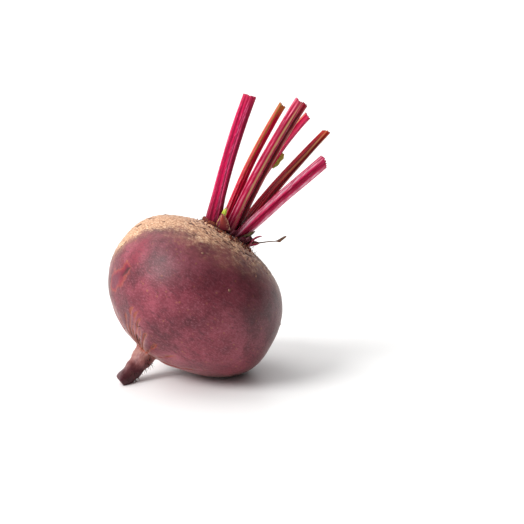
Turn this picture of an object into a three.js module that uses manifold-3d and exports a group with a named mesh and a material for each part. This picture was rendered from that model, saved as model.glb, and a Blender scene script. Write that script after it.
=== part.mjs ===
// A fresh beetroot with its leaf stalks cut short, lying as it rests on a table: the swollen root
// leans over to +X on a small flat spot, the end of its cut taproot touches the table at -X, and
// the stalks fan up to +X and +Z. Millimetres, +Z up. The origin is the middle of the flat spot.
//
// Everything is first built as the plant grows, in the beet's own frame: +Z up the growth axis to
// the crown, the neck of the taproot at the origin, +X the side that it later leans to, and -Y the
// side that faces a viewer in front. One group then lays the whole plant down.
import * as THREE from "three";
import { mergeVertices } from "three/addons/utils/BufferGeometryUtils.js";
import Module from "manifold-3d";

const wasm = await Module();
wasm.setup();

// How it lies.
const LEAN = 39.5; // degrees from upright, towards +X
const TURN = 18; // degrees that the lean then turns away from a viewer in front
const FLAT_DEPTH = 0.9; // how far the root is pressed flat where it carries its weight

// The swollen root. The lower half tapers to the neck, the upper half is a squarer shoulder.
const ROOT_RADIUS = 37.5;
const WIDEST_AT = 30.5; // height of the widest level above the neck
const TOP_RISE = 29.5; // from the widest level to the top of the shoulder
const LOWER_POWER = 1.9; // 2 is an ellipse, less is more like a cone
const SHOULDER_POWER = 2.3; // 2 is an ellipse, more is squarer
const BULGE = 4; // the middle of the root stands out this far to +X
const BELLY = 3; // extra fullness of the underside, where it lies
const SHOULDER_TILT = 6; // degrees that the shoulder is tipped back from the growth axis

// The crown, a low knob of old leaf bases on the shoulder.
const CROWN_RADIUS = 11.5;
const CROWN_HEIGHT = 1.3;
const CROWN_SHIFT = -2; // off the middle, towards -X

// The taproot, cut short and curved towards the viewer.
const NECK_RADIUS = 4.9;
const TAIL_LENGTH = 15.5;
const TAIL_END_RADIUS = 3;
const NECK_SHIFT = 2; // the neck stands off the growth axis, towards +X
const TAIL_DRIFT = { x: -4, y: -7 }; // how far the cut end has moved from there
const CUT_SLOPE = 0.3; // the cut is slanted this much, longer on the +X side

const ROOT_SIDES = 56;
const ROOT_RINGS = 38;
const STALK_RIBS = 10;
const STALK_RINGS = 11;
const SHOOT_SIDES = 8;
const SHOOT_RINGS = 7;
const FOOT_DEPTH = 5; // how deep in the crown a growth begins, before it is cut clear of it
const GAP = 0.3; // between pieces that grow from one another

// Everything that grows on the crown: where its foot stands there; how many degrees it leans to X
// at its foot and at its far end, with 0 along the growth axis; how many it leans to Y; its length;
// and its width at the foot, a little above it, and at the far end.

// The cut leaf stalks.
const STALKS = [
  { name: "stalk_1", colour: 0xc02858, foot: [-10.5, -2], lean: [-28, -19], side: -4, length: 54,
    widths: [8.2, 6.5, 6.2] },
  { name: "stalk_2", colour: 0xb4563c, foot: [-3, 4.5], lean: [-16, -4], side: 5, length: 57,
    widths: [4.6, 3.8, 3.2] },
  { name: "stalk_3", colour: 0xcc3f70, foot: [-3.5, -5], lean: [-16, -5], side: -4, length: 61,
    widths: [4.8, 4.1, 3.9] },
  { name: "stalk_4", colour: 0x86203a, foot: [0.5, -1.5], lean: [-16, -5], side: -3, length: 61,
    widths: [4.4, 3.9, 3.6] },
  { name: "stalk_5", colour: 0xb8285c, foot: [2.5, 6], lean: [-15, 7], side: 2, length: 59.5,
    widths: [4.4, 3.8, 3.3] },
  { name: "stalk_6", colour: 0x7c1c2c, foot: [3, 2], lean: [1, 9], side: 3, length: 58,
    widths: [5.4, 5.7, 3.6] },
  { name: "stalk_7", colour: 0xcf5a80, foot: [1.5, -4.5], lean: [8, 14], side: -3, length: 47,
    widths: [5, 5.9, 6] },
];

// Young shoots and dried remains, with how thick each is as a share of its width.
const SHOOTS = [
  { name: "bud", colour: 0x8fae2c, foot: [-9.6, -7], lean: [-15, -15], side: -9, length: 8.5,
    widths: [1.9, 2.3, 1.5], thick: 0.9 },
  { name: "shoot_dark", colour: 0x4c2426, foot: [2.5, -7], lean: [25, 15], side: -9, length: 6.5,
    widths: [2.6, 2.4, 1.3], thick: 0.6 },
  { name: "shoot_thin", colour: 0xa01c48, foot: [6.5, -7], lean: [-10, 50], side: -9, length: 7,
    widths: [1.5, 1.1, 0.8], thick: 0.9 },
  { name: "nub", colour: 0xb01c48, foot: [8, -3.5], lean: [45, 60], side: -5, length: 4,
    widths: [3, 2.8, 1.8], thick: 0.8 },
  { name: "dry_leaf", colour: 0x7c5438, foot: [6, -6], lean: [58, 33], side: -5, length: 17,
    widths: [1, 0.8, 0.7], thick: 1 },
];

// A thin dried scale in front, cupped across its width.
const DRY_SCALE = {
  name: "dry_scale", colour: 0xb88468, foot: [-8, -8.6], lean: [-38, -50], side: -17, length: 6,
  widths: [6.4, 5, 1], thickness: 0.8, cup: 0.9,
};

// A scrap of leaf left on one stalk: the share of the way up where it hangs, and how far the
// middle of its blade stands off the middle of that stalk, towards +X.
const LEAF_SCRAP = {
  name: "leaf_scrap", colour: 0x8a8a34, on: "stalk_5", from: 0.68, to: 0.55, reach: 2,
  widths: [1.4, 3.4, 1], thickness: 0.7, cup: 0.5,
};

const SKIN = 0x8a4550;
const CROWN_TOP = WIDEST_AT + TOP_RISE;

const rad = THREE.MathUtils.degToRad;
const smooth = THREE.MathUtils.smoothstep;
const lerp = THREE.MathUtils.lerp;

// Solids.

// A closed skin over a stack of rings, each a list of points, with a fan across each end.
function skin(rings) {
  const sides = rings[0].length;
  const middle = (ring) =>
    ring.reduce((sum, p) => sum.add(p), new THREE.Vector3()).divideScalar(ring.length);
  const points = [...rings.flat(), middle(rings[0]), middle(rings.at(-1))];
  const first = rings.length * sides;
  const top = first - sides;
  const faces = [];
  for (let j = 0; j < sides; j++) {
    const next = (j + 1) % sides;
    faces.push(first, next, j, first + 1, top + j, top + next);
    for (let i = 0; i + 1 < rings.length; i++) {
      const low = i * sides;
      const high = low + sides;
      faces.push(low + j, low + next, high + next, low + j, high + next, high + j);
    }
  }
  return new THREE.BufferGeometry().setFromPoints(points).setIndex(faces);
}

function toSolid(geometry) {
  const bare = geometry.clone();
  bare.deleteAttribute("normal");
  bare.deleteAttribute("uv");
  const merged = mergeVertices(bare, 1e-4);
  return new wasm.Manifold(
    new wasm.Mesh({
      numProp: 3,
      vertProperties: merged.attributes.position.array,
      triVerts: new Uint32Array(merged.index.array),
    }),
  );
}

function toGeometry(solid) {
  const mesh = solid.getMesh();
  return new THREE.BufferGeometry()
    .setAttribute("position", new THREE.BufferAttribute(new Float32Array(mesh.vertProperties), 3))
    .setIndex(new THREE.BufferAttribute(new Uint32Array(mesh.triVerts), 1));
}

function piece(name, solid, colour, roughness) {
  const geometry = toGeometry(solid);
  geometry.computeVertexNormals();
  const material = new THREE.MeshStandardMaterial({ color: colour, roughness, metalness: 0 });
  const mesh = new THREE.Mesh(geometry, material);
  mesh.name = name;
  return mesh;
}

// The root.

// The outline from the taproot's cut end up to the crown, as (radius, height) points.
function rootOutline() {
  const outline = [new THREE.Vector2(TAIL_END_RADIUS * 0.7, -TAIL_LENGTH)];
  for (const t of [0.04, 0.35, 0.68, 0.9]) {
    const radius = lerp(TAIL_END_RADIUS, NECK_RADIUS, t ** 1.3);
    outline.push(new THREE.Vector2(radius, lerp(-TAIL_LENGTH, 0, t)));
  }
  const lower = 2 / LOWER_POWER;
  const neckAngle = Math.asin((NECK_RADIUS / ROOT_RADIUS) ** (1 / lower));
  for (let i = 0; i <= 12; i++) {
    const angle = lerp(neckAngle, Math.PI / 2, i / 12);
    const rise = 1 - Math.max(Math.cos(angle), 0) ** lower;
    outline.push(new THREE.Vector2(ROOT_RADIUS * Math.sin(angle) ** lower, WIDEST_AT * rise));
  }
  const upper = 2 / SHOULDER_POWER;
  const crownAngle = Math.acos(((CROWN_RADIUS + 1.6) / ROOT_RADIUS) ** (1 / upper));
  for (let i = 1; i <= 12; i++) {
    const angle = (crownAngle * i) / 12;
    const radius = ROOT_RADIUS * Math.cos(angle) ** upper;
    outline.push(new THREE.Vector2(radius, WIDEST_AT + TOP_RISE * Math.sin(angle) ** upper));
  }
  const foot = outline.at(-1).y;
  outline.push(
    new THREE.Vector2(CROWN_RADIUS, foot + CROWN_HEIGHT * 0.75),
    new THREE.Vector2(CROWN_RADIUS * 0.8, foot + CROWN_HEIGHT),
    new THREE.Vector2(CROWN_RADIUS * 0.3, foot + CROWN_HEIGHT * 1.2),
  );
  return outline;
}

// How far the skin stands in or out at a height and an angle round the axis, in millimetres:
// broad lobes, a full underside, folds that run together into the neck, and knuckles below it.
function relief(height, angle) {
  const onRoot = smooth(height, 2, 22) * (1 - smooth(height, 52, 58));
  const lobes = 0.7 * Math.cos(2 * angle + 0.6) + 0.5 * Math.cos(3 * angle - 1.1);
  const nearBelly = smooth(height, 0, 12) * (1 - smooth(height, 12, 34));
  const belly = BELLY * Math.max(Math.cos(angle), 0);
  const nearNeck = smooth(height, -3, 2) * (1 - smooth(height, 4, 17));
  const folds = 0.65 * Math.cos(7 * angle + 0.25 * height) + 0.4 * Math.cos(4 * angle + 2.2);
  const onTail = 1 - smooth(height, -3, 1);
  const knuckles = 0.3 * Math.cos(3 * angle + 0.45 * height) + 0.25 * Math.sin(1.3 * height);
  const onCrown = smooth(height, CROWN_TOP - 0.8, CROWN_TOP);
  const bases = 0.5 * Math.cos(5 * angle + 0.8) + 0.35 * Math.cos(8 * angle);
  return (
    lobes * onRoot + belly * nearBelly + folds * nearNeck + knuckles * onTail + bases * onCrown
  );
}

// The middle of the cross-section at a height.
function spineAt(height) {
  const bulge = BULGE * Math.sin(Math.PI * THREE.MathUtils.clamp(height / CROWN_TOP, 0, 1));
  const shift = CROWN_SHIFT * smooth(height, CROWN_TOP - 2, CROWN_TOP);
  const neck = NECK_SHIFT * (1 - smooth(height, 0, 11));
  const down = THREE.MathUtils.clamp(-height / TAIL_LENGTH, 0, 1);
  const x = bulge + shift + neck + TAIL_DRIFT.x * down ** 2;
  return new THREE.Vector3(x, TAIL_DRIFT.y * down ** 1.6, height);
}

// A point of the root's skin, grown outwards by extra.
function rootPoint(radius, height, angle, extra) {
  const point = spineAt(height);
  const out = radius + relief(height, angle) * smooth(radius, 0.5, 6) + extra;
  point.x += out * Math.cos(angle);
  point.y += out * Math.sin(angle);
  const onShoulder = smooth(height, WIDEST_AT, CROWN_TOP);
  const onTail = THREE.MathUtils.clamp(-height / TAIL_LENGTH, 0, 1);
  point.z += Math.tan(rad(SHOULDER_TILT)) * point.x * onShoulder;
  point.z -= CUT_SLOPE * out * Math.cos(angle) * onTail;
  return point;
}

function rootSkin(extra) {
  const outline = new THREE.SplineCurve(rootOutline()).getSpacedPoints(ROOT_RINGS - 1);
  const rings = outline.map((p, i) => {
    const up = smooth(p.y, CROWN_TOP - 8, CROWN_TOP - 2) - (i === 0 ? 1 : 0);
    return Array.from({ length: ROOT_SIDES }, (_, j) => {
      const point = rootPoint(p.x, p.y, (2 * Math.PI * j) / ROOT_SIDES, extra);
      point.z += up * extra;
      return point;
    });
  });
  return skin(rings);
}

// Everything that stands on the crown.

// A direction that leans this many degrees from the growth axis, to X and to Y.
function leaning(x, y) {
  return new THREE.Vector3(Math.tan(rad(x)), Math.tan(rad(y)), 1).normalize();
}

// The path of a growth, which bends from its lean at the foot to its lean at the far end.
function growthPath({ foot: [x, y], lean, side, length }) {
  const crown = CROWN_TOP + CROWN_HEIGHT + x * Math.tan(rad(SHOULDER_TILT));
  const foot = new THREE.Vector3(x, y, crown);
  const bend = foot.clone().addScaledVector(leaning(lean[0], side), length / 2);
  const end = bend.clone().addScaledVector(leaning(lean[1], side), length / 2);
  return new THREE.QuadraticBezierCurve3(foot, bend, end);
}

// The same path begun deeper in the crown, so that the growth's foot is closed there.
function rootedPath(row) {
  const path = growthPath(row);
  const below = path.getTangent(0).multiplyScalar(-FOOT_DEPTH).add(path.v0);
  const rooted = new THREE.CurvePath();
  rooted.add(new THREE.LineCurve3(below, path.v0));
  rooted.add(path);
  return rooted;
}

// The width at a share of the way along, from the three widths of a table row.
function widthAt([foot, above, end], along) {
  if (along < 0.3) return lerp(foot, above, smooth(along, 0, 0.3));
  return lerp(above, end, (along - 0.3) / 0.7);
}

// A solid swept along a path. The section gives points across it, x towards the outside of the
// plant and y to the side, at a share of the way along.
function sweep(path, count, section) {
  const start = path.getPoint(0);
  const outward = new THREE.Vector3(start.x - CROWN_SHIFT, start.y, 0).normalize();
  const rings = path.getSpacedPoints(count - 1).map((centre, i) => {
    const along = i / (count - 1);
    const tangent = path.getTangentAt(along);
    const side = new THREE.Vector3().crossVectors(tangent, outward).normalize();
    const back = new THREE.Vector3().crossVectors(side, tangent).normalize();
    return section(along).map((p) =>
      centre.clone().addScaledVector(back, p.x).addScaledVector(side, p.y),
    );
  });
  return toSolid(skin(rings));
}

// A stalk's section: ribbed all round, flatter than wide, and hollowed into a channel on the side
// that faces the middle of the crown. The channel closes towards the foot.
function stalkSection(width, along, extra) {
  const sides = STALK_RIBS * 2;
  return Array.from({ length: sides }, (_, j) => {
    const angle = (2 * Math.PI * j) / sides;
    const rib = j % 2 === 0 ? 0.026 : -0.026;
    const channel = 0.2 * smooth(along, 0.05, 0.4) * Math.exp(-((angle - Math.PI) ** 2) / 0.3);
    const reach = (0.5 + rib - channel) * width + extra;
    return new THREE.Vector2(reach * 0.82 * Math.cos(angle), reach * Math.sin(angle));
  });
}

function stalkSolid(row, extra) {
  return sweep(rootedPath(row), STALK_RINGS, (along) =>
    stalkSection(widthAt(row.widths, along), along, extra),
  );
}

function shootSolid(row, extra) {
  return sweep(rootedPath(row), SHOOT_RINGS, (along) => {
    const reach = widthAt(row.widths, along) / 2;
    return Array.from({ length: SHOOT_SIDES }, (_, j) => {
      const angle = (2 * Math.PI * j) / SHOOT_SIDES;
      const x = (reach * row.thick + extra) * Math.cos(angle);
      return new THREE.Vector2(x, (reach + extra) * Math.sin(angle));
    });
  });
}

// A thin blade along a path, cupped across its width.
function bladeSolid(path, { widths, thickness, cup }) {
  const across = [-1, -0.5, 0, 0.5, 1];
  return sweep(path, SHOOT_RINGS, (along) => {
    const half = widthAt(widths, along) / 2;
    const face = (side) =>
      across.map((t) => new THREE.Vector2((side * thickness) / 2 - cup * t * t, half * t));
    return [...face(1), ...face(-1).reverse()];
  });
}

// The whole plant.

const root = toSolid(rootSkin(0));
const grown = [toSolid(rootSkin(GAP))];

const beetroot = new THREE.Group();
beetroot.name = "beetroot";
beetroot.quaternion
  .setFromAxisAngle(new THREE.Vector3(0, 0, 1), rad(TURN))
  .multiply(new THREE.Quaternion().setFromAxisAngle(new THREE.Vector3(0, 1, 0), rad(LEAN)));

// The lowest point of the laid-down root above its neck, before its weight presses it flat.
function lowestPoint() {
  const position = toGeometry(root).attributes.position;
  let lowest = new THREE.Vector3(0, 0, Infinity);
  for (let i = 0; i < position.count; i++) {
    const point = new THREE.Vector3().fromBufferAttribute(position, i);
    const laid = point.clone().applyQuaternion(beetroot.quaternion);
    if (point.z > WIDEST_AT * 0.3 && laid.z < lowest.z) lowest = laid;
  }
  return lowest;
}

const lowest = lowestPoint();
beetroot.position.set(-lowest.x, -lowest.y, -lowest.z - FLAT_DEPTH);
beetroot.updateMatrixWorld(true);

const table = new THREE.BoxGeometry(400, 400, 40).translate(0, 0, -20);
table.applyMatrix4(beetroot.matrixWorld.clone().invert());
beetroot.add(piece("root_body", root.subtract(toSolid(table)), SKIN, 0.6));

// Adds a growth, cut clear of the root and of every growth before it.
function addGrowth(row, solid, roughness) {
  const clear = grown.reduce((rest, other) => rest.subtract(other), solid);
  beetroot.add(piece(row.name, clear, row.colour, roughness));
}

for (const stalk of STALKS) {
  addGrowth(stalk, stalkSolid(stalk, 0), 0.35);
  grown.push(stalkSolid(stalk, GAP));
}
for (const shoot of SHOOTS) {
  addGrowth(shoot, shootSolid(shoot, 0), 0.5);
  grown.push(shootSolid(shoot, GAP));
}
addGrowth(DRY_SCALE, bladeSolid(growthPath(DRY_SCALE), DRY_SCALE), 0.7);

const carrier = growthPath(STALKS.find((stalk) => stalk.name === LEAF_SCRAP.on));
const beside = (share) => carrier.getPointAt(share).add(new THREE.Vector3(LEAF_SCRAP.reach, 0, 0));
const scrapPath = new THREE.LineCurve3(beside(LEAF_SCRAP.from), beside(LEAF_SCRAP.to));
addGrowth(LEAF_SCRAP, bladeSolid(scrapPath, LEAF_SCRAP), 0.7);

export default beetroot;
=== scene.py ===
import math

import bpy
import numpy as np
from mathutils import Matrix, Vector, noise


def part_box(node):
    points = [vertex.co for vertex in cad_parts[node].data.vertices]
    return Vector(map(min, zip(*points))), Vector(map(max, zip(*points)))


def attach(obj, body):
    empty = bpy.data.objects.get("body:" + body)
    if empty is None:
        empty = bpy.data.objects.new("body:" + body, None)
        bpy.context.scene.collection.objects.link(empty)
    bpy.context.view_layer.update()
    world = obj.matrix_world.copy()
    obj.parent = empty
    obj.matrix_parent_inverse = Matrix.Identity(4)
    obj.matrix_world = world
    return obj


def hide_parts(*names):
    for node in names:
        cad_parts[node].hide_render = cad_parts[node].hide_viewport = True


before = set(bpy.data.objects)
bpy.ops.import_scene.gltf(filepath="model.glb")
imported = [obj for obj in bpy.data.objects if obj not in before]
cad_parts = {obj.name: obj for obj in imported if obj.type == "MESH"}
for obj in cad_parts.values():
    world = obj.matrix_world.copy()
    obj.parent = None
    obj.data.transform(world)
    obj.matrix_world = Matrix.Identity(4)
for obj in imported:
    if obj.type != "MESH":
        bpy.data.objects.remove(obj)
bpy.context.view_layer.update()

# A fresh beetroot with cut leaf stalks. Every piece is grown here once more, finer, from the sizes
# that the solids have, in the plant's own frame in millimetres: +Z up the growth axis to the crown,
# the neck of the taproot at the origin. It is then laid down as the solids lie, in metres.
MM = 0.001

# How it lies.
LEAN = math.radians(39.5)
TURN = math.radians(18)

# The swollen root, its crown and its taproot.
ROOT_RADIUS = 37.5
WIDEST_AT = 30.5
TOP_RISE = 29.5
LOWER_POWER = 1.9
SHOULDER_POWER = 2.3
BULGE = 4
BELLY = 3
SHOULDER_TILT = math.tan(math.radians(6))
CROWN_RADIUS = 11.5
CROWN_HEIGHT = 1.3
CROWN_SHIFT = -2
NECK_RADIUS = 4.9
TAIL_LENGTH = 15.5
TAIL_END_RADIUS = 3
NECK_SHIFT = 2
TAIL_DRIFT = (-4, -7)
CUT_SLOPE = 0.3
CROWN_TOP = WIDEST_AT + TOP_RISE

ROOT_SIDES = 320
ROOT_RINGS = 270

# Marks on the skin, each from one end to the other: an old crack and a blush on the left of the
# shoulder, and below them a healed scar with a split in it.
OLD_CRACK = ((-34.0, 1.4, 32), (-33.0, 4.0, 23.5))
BLUSH = ((-31.0, -10.0, 36), (-31.2, -12.0, 29))
SCAR = ((-31.2, -10.5, 23), (-28.3, -1.5, 13.8))
SCAR_SPLIT = ((-30.6, -12.2, 25), (-29.5, -8.6, 19.5))

# The cut leaf stalks: where the foot stands on the crown, the lean in degrees at the foot and at the
# far end, the lean to Y, the length, and the widths at the foot, above it and at the far end. Then
# the number of ribs, how the tip is cut, and its bands of colour: painted highlights, tan stripes and
# painted shade, each a place round the stalk in degrees from its front, positive to the right, and how
# wide it spreads.
STALKS = [
    dict(node="stalk_1", slot="stalk_crimson", foot=(-10.5, -2), lean=(-28, -19), side=-4, length=54,
         widths=(8.2, 6.5, 6.2), ribs=13, slant=0.14,
         painted_highlight=[(-66, 8), (10, 5), (24, 3)], tan=[], shade=[(58, 20), (-30, 7), (17, 3)]),
    dict(node="stalk_2", slot="stalk_russet", foot=(-3, 4.5), lean=(-16, -4), side=5, length=57,
         widths=(4.6, 3.8, 3.2), ribs=9, slant=0.2,
         painted_highlight=[(-30, 6)], tan=[(-66, 20), (-5, 12)], shade=[(50, 18)]),
    dict(node="stalk_3", slot="stalk_pink", foot=(-3.5, -5), lean=(-16, -5), side=-4, length=61,
         widths=(4.8, 4.1, 3.9), ribs=11, slant=-0.15,
         painted_highlight=[(-68, 9), (-14, 5)], tan=[(34, 11)], shade=[(68, 18), (-40, 8), (10, 7)]),
    dict(node="stalk_4", slot="stalk_dark", foot=(0.5, -1.5), lean=(-16, -5), side=-3, length=61,
         widths=(4.4, 3.9, 3.6), ribs=9, slant=-0.35,
         painted_highlight=[(80, 9)], tan=[(70, 6)], shade=[(5, 24)]),
    dict(node="stalk_5", slot="stalk_crimson", foot=(2.5, 6), lean=(-15, 7), side=2, length=59.5,
         widths=(4.4, 3.8, 3.3), ribs=9, slant=0.3,
         painted_highlight=[(50, 14)], tan=[(-50, 10)], shade=[(0, 18)]),
    dict(node="stalk_6", slot="stalk_dark", foot=(3, 2), lean=(1, 9), side=3, length=58,
         widths=(5.4, 5.7, 3.6), ribs=10, slant=-0.4,
         painted_highlight=[], tan=[(0, 11), (80, 12)], shade=[(-28, 16), (38, 14)]),
    dict(node="stalk_7", slot="stalk_pink", foot=(1.5, -4.5), lean=(8, 14), side=-3, length=47,
         widths=(5, 5.9, 6), ribs=13, slant=-0.3,
         painted_highlight=[(-40, 8), (-16, 9), (70, 14)], tan=[], shade=[(24, 16), (-28, 4), (-64, 6)]),
]
STALK_SIDES = 88
STALK_RINGS = 110
FOOT_DEPTH = 5

# Young shoots: as the stalks, with how thick each is as a share of its width.
SHOOTS = [
    dict(name="green_bud", node="bud", slot="bud_green", foot=(-9.6, -7), lean=(-15, -15), side=-9,
         length=8.5, widths=(1.9, 2.3, 1.5), thick=0.9),
    dict(name="dark_shoot", node="shoot_dark", slot="shoot_dark", foot=(2.5, -7), lean=(25, 15),
         side=-9, length=6.5, widths=(2.6, 2.4, 1.3), thick=0.6),
    dict(name="thin_shoot", node="shoot_thin", slot="shoot_red", foot=(6.5, -7), lean=(-10, 50),
         side=-9, length=7, widths=(1.5, 1.1, 0.8), thick=0.9),
    dict(name="side_nub", node="nub", slot="shoot_red", foot=(8, -3.5), lean=(45, 60), side=-5,
         length=4, widths=(3, 2.8, 1.8), thick=0.8),
]
SHOOT_SIDES = 28
SHOOT_RINGS = 36

# A dry fibre with a shrivelled leaf at its end, a dried scale in front, and a scrap of leaf that
# hangs on a stalk, from one share of its length down to another.
DRY_FIBRE = dict(foot=(6, -6), lean=(58, 33), side=-5, length=17, widths=(1, 0.8, 0.7))
DRIED_SCALE = dict(foot=(-8, -8.6), lean=(-38, -50), side=-17, length=6, widths=(6.4, 5, 1),
                   thickness=0.5, cup=0.9)
LEAF_RAG = dict(on="stalk_5", start=0.68, end=0.55, reach=2, widths=(1.4, 3.4, 1), thickness=0.4,
                cup=0.5)


# Shapes.

def smooth(value, low, high):
    share = np.clip((np.asarray(value, float) - low) / (high - low), 0, 1)
    return share * share * (3 - 2 * share)


def unit(vectors):
    return vectors / np.maximum(np.linalg.norm(vectors, axis=-1, keepdims=True), 1e-9)


def round_angles(sides):
    return np.linspace(0, 2 * math.pi, sides, endpoint=False)[None, :]


def share_along(count):
    """From 0 at the foot to 1 at the end, one value for each ring."""
    return np.linspace(0, 1, count)[:, None]


def grain(points, size, seed=0):
    """Smooth noise of about -1 to 1 at each point, with lumps of this size."""
    flat = np.reshape(points, (-1, 3)) / size + np.array([17.3, 5.1, 9.7]) * (seed + 1)
    return np.array([noise.noise(p) for p in flat.tolist()]).reshape(np.shape(points)[:-1])


def spline(points, count):
    """A smooth curve through the points, as count points spaced evenly, and their distance along."""
    points = np.asarray(points, float)
    last = len(points) - 1
    place = np.linspace(0, last, 6000)
    before = np.minimum(place.astype(int), last - 1)
    t = (place - before)[:, None]
    a, b = points[np.maximum(before - 1, 0)], points[before]
    c, d = points[before + 1], points[np.minimum(before + 2, last)]
    start, end = (c - a) / 2, (d - b) / 2
    curve = ((2 * b - 2 * c + start + end) * t**3 + (3 * c - 3 * b - 2 * start - end) * t**2
             + start * t + b)
    steps = np.linalg.norm(np.diff(curve, axis=0), axis=1)
    length = np.concatenate([[0], np.cumsum(steps)])
    even = np.linspace(0, length[-1], count)
    return np.stack([np.interp(even, length, curve[:, k]) for k in range(2)], 1), even


def root_outline():
    """From the taproot's cut end up to the crown, as (radius, height)."""
    outline = [(TAIL_END_RADIUS * 0.7, -TAIL_LENGTH)]
    for t in (0.04, 0.35, 0.68, 0.9):
        radius = TAIL_END_RADIUS + (NECK_RADIUS - TAIL_END_RADIUS) * t**1.3
        outline.append((radius, TAIL_LENGTH * (t - 1)))
    lower = 2 / LOWER_POWER
    neck_angle = math.asin((NECK_RADIUS / ROOT_RADIUS) ** (1 / lower))
    for angle in np.linspace(neck_angle, math.pi / 2, 13):
        rise = 1 - max(math.cos(angle), 0) ** lower
        outline.append((ROOT_RADIUS * math.sin(angle) ** lower, WIDEST_AT * rise))
    upper = 2 / SHOULDER_POWER
    crown_angle = math.acos(((CROWN_RADIUS + 1.6) / ROOT_RADIUS) ** (1 / upper))
    for angle in np.linspace(0, crown_angle, 13)[1:]:
        radius = ROOT_RADIUS * math.cos(angle) ** upper
        outline.append((radius, WIDEST_AT + TOP_RISE * math.sin(angle) ** upper))
    foot = outline[-1][1]
    outline.append((CROWN_RADIUS, foot + CROWN_HEIGHT * 0.75))
    outline.append((CROWN_RADIUS * 0.8, foot + CROWN_HEIGHT))
    outline.append((CROWN_RADIUS * 0.3, foot + CROWN_HEIGHT * 1.2))
    return outline


def broad_relief(height, angle):
    """Lobes, the full underside, folds at the neck, knuckles on the taproot, bases on the crown."""
    on_root = smooth(height, 2, 22) * (1 - smooth(height, 52, 58))
    lobes = 0.7 * np.cos(2 * angle + 0.6) + 0.5 * np.cos(3 * angle - 1.1)
    near_belly = smooth(height, 0, 12) * (1 - smooth(height, 12, 34))
    belly = BELLY * np.maximum(np.cos(angle), 0)
    near_neck = smooth(height, -3, 2) * (1 - smooth(height, 4, 17))
    folds = 0.65 * np.cos(7 * angle + 0.25 * height) + 0.4 * np.cos(4 * angle + 2.2)
    on_tail = 1 - smooth(height, -3, 1)
    knuckles = 0.3 * np.cos(3 * angle + 0.45 * height) + 0.25 * np.sin(1.3 * height)
    on_crown = smooth(height, CROWN_TOP - 0.8, CROWN_TOP)
    bases = 0.5 * np.cos(5 * angle + 0.8) + 0.35 * np.cos(8 * angle)
    return (lobes * on_root + belly * near_belly + folds * near_neck + knuckles * on_tail
            + bases * on_crown)


def root_point(radius, height, angle):
    """A point of the root's skin, from its place on the outline and round the axis."""
    up = np.clip(height / CROWN_TOP, 0, 1)
    down = np.clip(-height / TAIL_LENGTH, 0, 1)
    spine_x = (BULGE * np.sin(math.pi * up) + CROWN_SHIFT * smooth(height, CROWN_TOP - 2, CROWN_TOP)
               + NECK_SHIFT * (1 - smooth(height, 0, 11)) + TAIL_DRIFT[0] * down**2)
    out = radius + broad_relief(height, angle) * smooth(radius, 0.5, 6)
    x = spine_x + out * np.cos(angle)
    y = TAIL_DRIFT[1] * down**1.6 + out * np.sin(angle)
    z = (height + SHOULDER_TILT * x * smooth(height, WIDEST_AT, CROWN_TOP)
         - CUT_SLOPE * out * np.cos(angle) * down)
    return np.stack([x, y, z], -1)


def laid(points):
    """Plant points turned as the beet lies, before it is moved to its place."""
    x, y, z = np.moveaxis(np.asarray(points, float), -1, 0)
    x, z = x * math.cos(LEAN) + z * math.sin(LEAN), z * math.cos(LEAN) - x * math.sin(LEAN)
    x, y = x * math.cos(TURN) - y * math.sin(TURN), x * math.sin(TURN) + y * math.cos(TURN)
    return np.stack([x, y, z], -1)


# The direction to a viewer in front, 13 degrees up, as the plant has it. The stalks' painted
# highlights and painted shade are placed round them from it.
VIEW_RISE = math.radians(13)
VIEWER = laid(np.eye(3)) @ np.array([0, -math.cos(VIEW_RISE), math.sin(VIEW_RISE)])


def neck_place(points):
    """Where the neck comes to lie, from the box of the solid root."""
    low, high = (np.array(corner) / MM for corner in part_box("root_body"))
    own = laid(points).reshape(-1, 3)
    return np.array([low[0] - own[:, 0].min(), low[1] - own[:, 1].min(), high[2] - own[:, 2].max()])


def ring_faces(rings, sides, start=0):
    faces = []
    for i in range(rings - 1):
        low = start + i * sides
        for j in range(sides):
            k = (j + 1) % sides
            faces.append((low + j, low + k, low + sides + k, low + sides + j))
    return faces


class Piece:
    """Points, faces and marks of one piece, gathered before its mesh is made."""

    def __init__(self, marks=()):
        self.points, self.faces, self.count = [], [], 0
        self.marks = {name: [] for name in marks}

    def add_rings(self, rings, **marks):
        """Joins a stack of rings into a closed skin, with a fan across each end."""
        count, sides = rings.shape[:2]
        flat = rings.reshape(-1, 3)
        ends = np.array([rings[0].mean(0), rings[-1].mean(0)])
        self.points.append(np.vstack([flat, ends]))
        first = self.count
        bottom, top = first + count * sides, first + count * sides + 1
        self.faces += ring_faces(count, sides, first)
        high = bottom - sides
        for j in range(sides):
            k = (j + 1) % sides
            self.faces.append((bottom, first + k, first + j))
            self.faces.append((top, high + j, high + k))
        for name, values in self.marks.items():
            field = np.broadcast_to(marks.get(name, 0.0), (count, sides))
            values.append(np.concatenate([field.ravel(), [field[0].mean(), field[-1].mean()]]))
        self.count += count * sides + 2

    def make(self, name, material, slot, replaces=()):
        plant = np.vstack(self.points)
        world = (laid(plant) + NECK_PLACE) * MM
        # Nothing sinks into the table.
        world[:, 2] = np.maximum(world[:, 2], 0)
        mesh = bpy.data.meshes.new(name)
        mesh.from_pydata(world.tolist(), [], self.faces)
        grown = mesh.attributes.new("grown", "FLOAT_VECTOR", "POINT")
        grown.data.foreach_set("vector", plant.astype(np.float32).ravel())
        for mark, values in self.marks.items():
            field = mesh.attributes.new(mark, "FLOAT", "POINT")
            field.data.foreach_set("value", np.concatenate(values).astype(np.float32))
        mesh.shade_smooth()
        made = bpy.data.objects.new(name, mesh)
        bpy.context.scene.collection.objects.link(made)
        mesh.materials.append(material)
        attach(made, "root")
        if replaces:
            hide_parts(*replaces)
        return made


# The root.

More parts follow.
